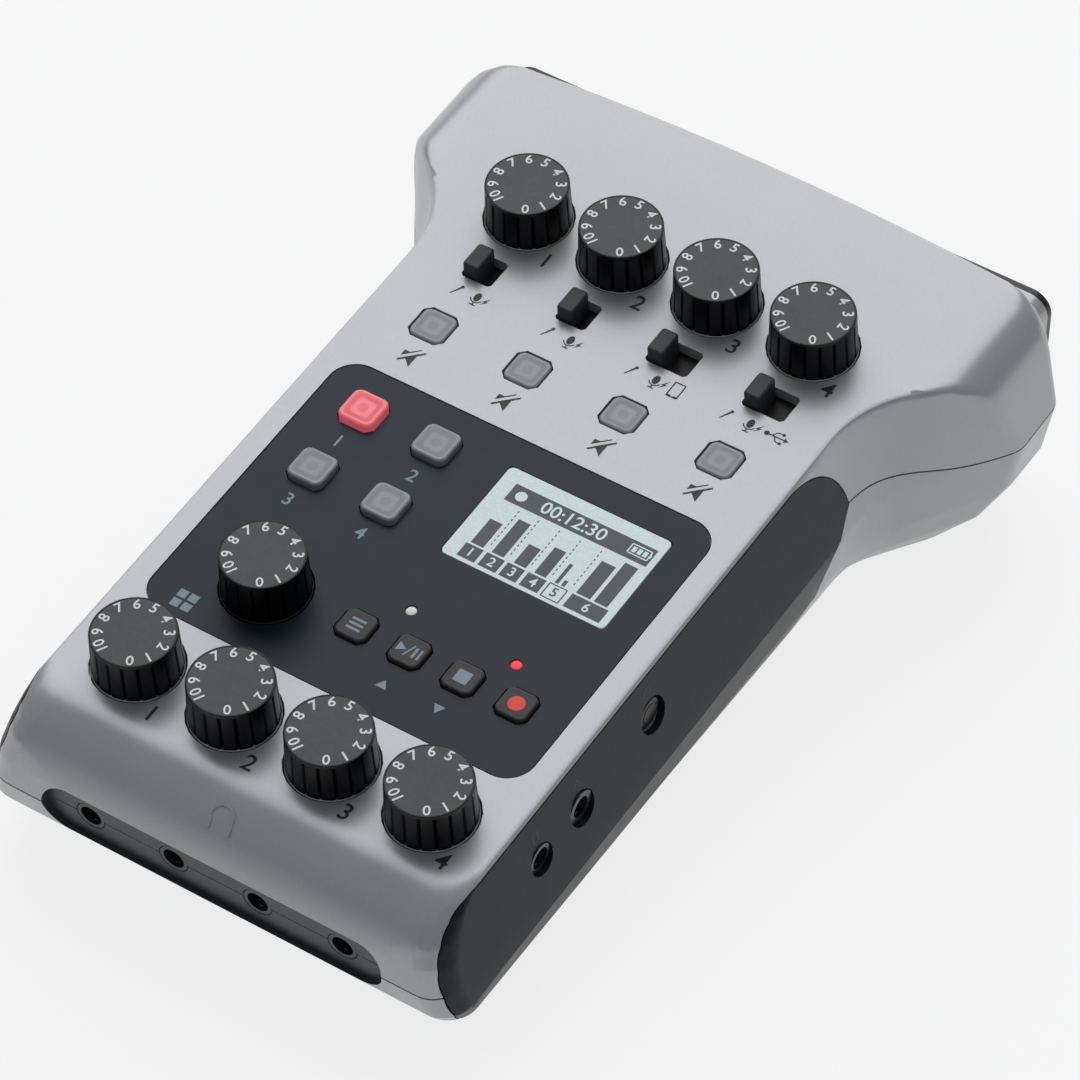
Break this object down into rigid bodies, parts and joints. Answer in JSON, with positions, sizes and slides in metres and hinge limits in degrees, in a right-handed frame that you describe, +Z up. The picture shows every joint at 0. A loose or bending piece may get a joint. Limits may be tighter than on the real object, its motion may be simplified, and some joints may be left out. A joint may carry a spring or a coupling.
{
  "type": "podcast recorder",
  "caption": "Wedge-shaped desktop audio recorder with a flared head, round fluted level knobs, square pads, slide switches and a small display in a dark panel.",
  "frame": {"origin": "centre of the bounding box, on the plane of the feet", "axes": "+Z up, +Y to the rear where the microphone sockets are, +X to the right of the user; the deck falls 5.7 degrees to the front"},
  "size_m": [0.112, 0.155, 0.0472],
  "materials": {
    "silver_shell": "matt silver paint on plastic",
    "side_grey": "fine matt",
    "panel_dark": "satin",
    "window": "clear lens",
    "display": "reflective display",
    "light_pipe": "clear",
    "knob": "gloss sides, satin top",
    "clear_key": "frosted translucent",
    "rubber_key": "matt",
    "switch_dark": "matt",
    "component": "plain metal",
    "board": "solder mask",
    "jack_black": "satin",
    "cell": "plain sleeve",
    "silver_door": "matt silver",
    "foot": "matt"
  },
  "bodies": {
    "housing": {"top_shell": "silver_shell", "bottom_shell": "silver_shell", "side_panel_right": "side_grey", "side_panel_left": "side_grey", "control_panel": "panel_dark", "display_window": "window", "display_module": "display", "indicator_lights": "light_pipe", "potentiometers": "component", "tact_switches": "component", "switch_bodies": "component", "main_board": "board", "phones_board": "board", "phones_jack_1": "jack_black", "phones_jack_2": "jack_black", "phones_jack_3": "jack_black", "phones_jack_4": "jack_black", "line_jack": "jack_black", "phone_jack": "jack_black", "usb_socket": "component", "card_slot": "component", "rear_panel": "jack_black", "xlr_socket_1": "jack_black", "xlr_socket_2": "jack_black", "xlr_socket_3": "jack_black", "xlr_socket_4": "jack_black", "xlr_contacts": "component", "batteries": "cell", "battery_contacts": "component", "feet": "foot", "screws": "component"},
    "mic_knob_1": {"mic_knob_1": "knob"},
    "mic_knob_2": {"mic_knob_2": "knob"},
    "mic_knob_3": {"mic_knob_3": "knob"},
    "mic_knob_4": {"mic_knob_4": "knob"},
    "phones_knob_1": {"phones_knob_1": "knob"},
    "phones_knob_2": {"phones_knob_2": "knob"},
    "phones_knob_3": {"phones_knob_3": "knob"},
    "phones_knob_4": {"phones_knob_4": "knob"},
    "pad_knob": {"pad_knob": "knob"},
    "source_switch_1": {"source_switch_1": "switch_dark"},
    "source_switch_2": {"source_switch_2": "switch_dark"},
    "source_switch_3": {"source_switch_3": "switch_dark"},
    "source_switch_4": {"source_switch_4": "switch_dark"},
    "mute_button_1": {"mute_button_1": "clear_key"},
    "mute_button_2": {"mute_button_2": "clear_key"},
    "mute_button_3": {"mute_button_3": "clear_key"},
    "mute_button_4": {"mute_button_4": "clear_key"},
    "pad_button_1": {"pad_button_1": "clear_key"},
    "pad_button_2": {"pad_button_2": "clear_key"},
    "pad_button_3": {"pad_button_3": "clear_key"},
    "pad_button_4": {"pad_button_4": "clear_key"},
    "menu_button": {"menu_button": "rubber_key"},
    "play_button": {"play_button": "rubber_key"},
    "stop_button": {"stop_button": "rubber_key"},
    "record_button": {"record_button": "rubber_key"},
    "power_button": {"power_button": "switch_dark"},
    "hold_slide": {"hold_slide": "switch_dark"},
    "battery_door": {"battery_door": "silver_door"}
  },
  "joints": [
    {"name": "mic_knob_1_turn", "type": "hinge", "parent": "housing", "child": "mic_knob_1", "pos_m": [-0.0258, 0.04487, 0.0391], "axis": [0, -0.0995, 0.995], "range_deg": [-150, 150]},
    {"name": "mic_knob_2_turn", "type": "hinge", "parent": "housing", "child": "mic_knob_2", "pos_m": [-0.0086, 0.04487, 0.0391], "axis": [0, -0.0995, 0.995], "range_deg": [-150, 150]},
    {"name": "mic_knob_3_turn", "type": "hinge", "parent": "housing", "child": "mic_knob_3", "pos_m": [0.0086, 0.04487, 0.0391], "axis": [0, -0.0995, 0.995], "range_deg": [-150, 150]},
    {"name": "mic_knob_4_turn", "type": "hinge", "parent": "housing", "child": "mic_knob_4", "pos_m": [0.0258, 0.04487, 0.0391], "axis": [0, -0.0995, 0.995], "range_deg": [-150, 150]},
    {"name": "phones_knob_1_turn", "type": "hinge", "parent": "housing", "child": "phones_knob_1", "pos_m": [-0.0258, -0.05852, 0.02876], "axis": [0, -0.0995, 0.995], "range_deg": [-150, 150]},
    {"name": "phones_knob_2_turn", "type": "hinge", "parent": "housing", "child": "phones_knob_2", "pos_m": [-0.0086, -0.05852, 0.02876], "axis": [0, -0.0995, 0.995], "range_deg": [-150, 150]},
    {"name": "phones_knob_3_turn", "type": "hinge", "parent": "housing", "child": "phones_knob_3", "pos_m": [0.0086, -0.05852, 0.02876], "axis": [0, -0.0995, 0.995], "range_deg": [-150, 150]},
    {"name": "phones_knob_4_turn", "type": "hinge", "parent": "housing", "child": "phones_knob_4", "pos_m": [0.0258, -0.05852, 0.02876], "axis": [0, -0.0995, 0.995], "range_deg": [-150, 150]},
    {"name": "pad_knob_turn", "type": "hinge", "parent": "housing", "child": "pad_knob", "pos_m": [-0.0182, -0.03683, 0.03093], "axis": [0, -0.0995, 0.995], "range_deg": [-150, 150]},
    {"name": "source_switch_1_slide", "type": "slide", "parent": "housing", "child": "source_switch_1", "axis": [1, 0, 0], "range_m": [0, 0.002]},
    {"name": "source_switch_2_slide", "type": "slide", "parent": "housing", "child": "source_switch_2", "axis": [1, 0, 0], "range_m": [0, 0.002]},
    {"name": "source_switch_3_slide", "type": "slide", "parent": "housing", "child": "source_switch_3", "axis": [1, 0, 0], "range_m": [0, 0.004]},
    {"name": "source_switch_4_slide", "type": "slide", "parent": "housing", "child": "source_switch_4", "axis": [1, 0, 0], "range_m": [0, 0.004]},
    {"name": "mute_button_1_press", "type": "slide", "parent": "housing", "child": "mute_button_1", "axis": [0, 0.0995, -0.995], "range_m": [0, 0.0008], "stiffness_N_per_m": 400, "springref_m": -0.002},
    {"name": "mute_button_2_press", "type": "slide", "parent": "housing", "child": "mute_button_2", "axis": [0, 0.0995, -0.995], "range_m": [0, 0.0008], "stiffness_N_per_m": 400, "springref_m": -0.002},
    {"name": "mute_button_3_press", "type": "slide", "parent": "housing", "child": "mute_button_3", "axis": [0, 0.0995, -0.995], "range_m": [0, 0.0008], "stiffness_N_per_m": 400, "springref_m": -0.002},
    {"name": "mute_button_4_press", "type": "slide", "parent": "housing", "child": "mute_button_4", "axis": [0, 0.0995, -0.995], "range_m": [0, 0.0008], "stiffness_N_per_m": 400, "springref_m": -0.002},
    {"name": "pad_button_1_press", "type": "slide", "parent": "housing", "child": "pad_button_1", "axis": [0, 0.0995, -0.995], "range_m": [0, 0.0008], "stiffness_N_per_m": 400, "springref_m": -0.002},
    {"name": "pad_button_2_press", "type": "slide", "parent": "housing", "child": "pad_button_2", "axis": [0, 0.0995, -0.995], "range_m": [0, 0.0008], "stiffness_N_per_m": 400, "springref_m": -0.002},
    {"name": "pad_button_3_press", "type": "slide", "parent": "housing", "child": "pad_button_3", "axis": [0, 0.0995, -0.995], "range_m": [0, 0.0008], "stiffness_N_per_m": 400, "springref_m": -0.002},
    {"name": "pad_button_4_press", "type": "slide", "parent": "housing", "child": "pad_button_4", "axis": [0, 0.0995, -0.995], "range_m": [0, 0.0008], "stiffness_N_per_m": 400, "springref_m": -0.002},
    {"name": "menu_button_press", "type": "slide", "parent": "housing", "child": "menu_button", "axis": [0, 0.0995, -0.995], "range_m": [0, 0.0008], "stiffness_N_per_m": 400, "springref_m": -0.002},
    {"name": "play_button_press", "type": "slide", "parent": "housing", "child": "play_button", "axis": [0, 0.0995, -0.995], "range_m": [0, 0.0008], "stiffness_N_per_m": 400, "springref_m": -0.002},
    {"name": "stop_button_press", "type": "slide", "parent": "housing", "child": "stop_button", "axis": [0, 0.0995, -0.995], "range_m": [0, 0.0008], "stiffness_N_per_m": 400, "springref_m": -0.002},
    {"name": "record_button_press", "type": "slide", "parent": "housing", "child": "record_button", "axis": [0, 0.0995, -0.995], "range_m": [0, 0.0008], "stiffness_N_per_m": 400, "springref_m": -0.002},
    {"name": "power_button_press", "type": "slide", "parent": "housing", "child": "power_button", "axis": [-1, 0, 0], "range_m": [0, 0.0008], "stiffness_N_per_m": 400, "springref_m": -0.002},
    {"name": "hold_slide_slide", "type": "slide", "parent": "housing", "child": "hold_slide", "axis": [0, 0.995, 0.0995], "range_m": [0, 0.002]},
    {"name": "battery_door_hinge", "type": "hinge", "parent": "housing", "child": "battery_door", "pos_m": [0, -0.0078, 0.0017], "axis": [-1, 0, 0], "range_deg": [0, 95]}
  ]
}
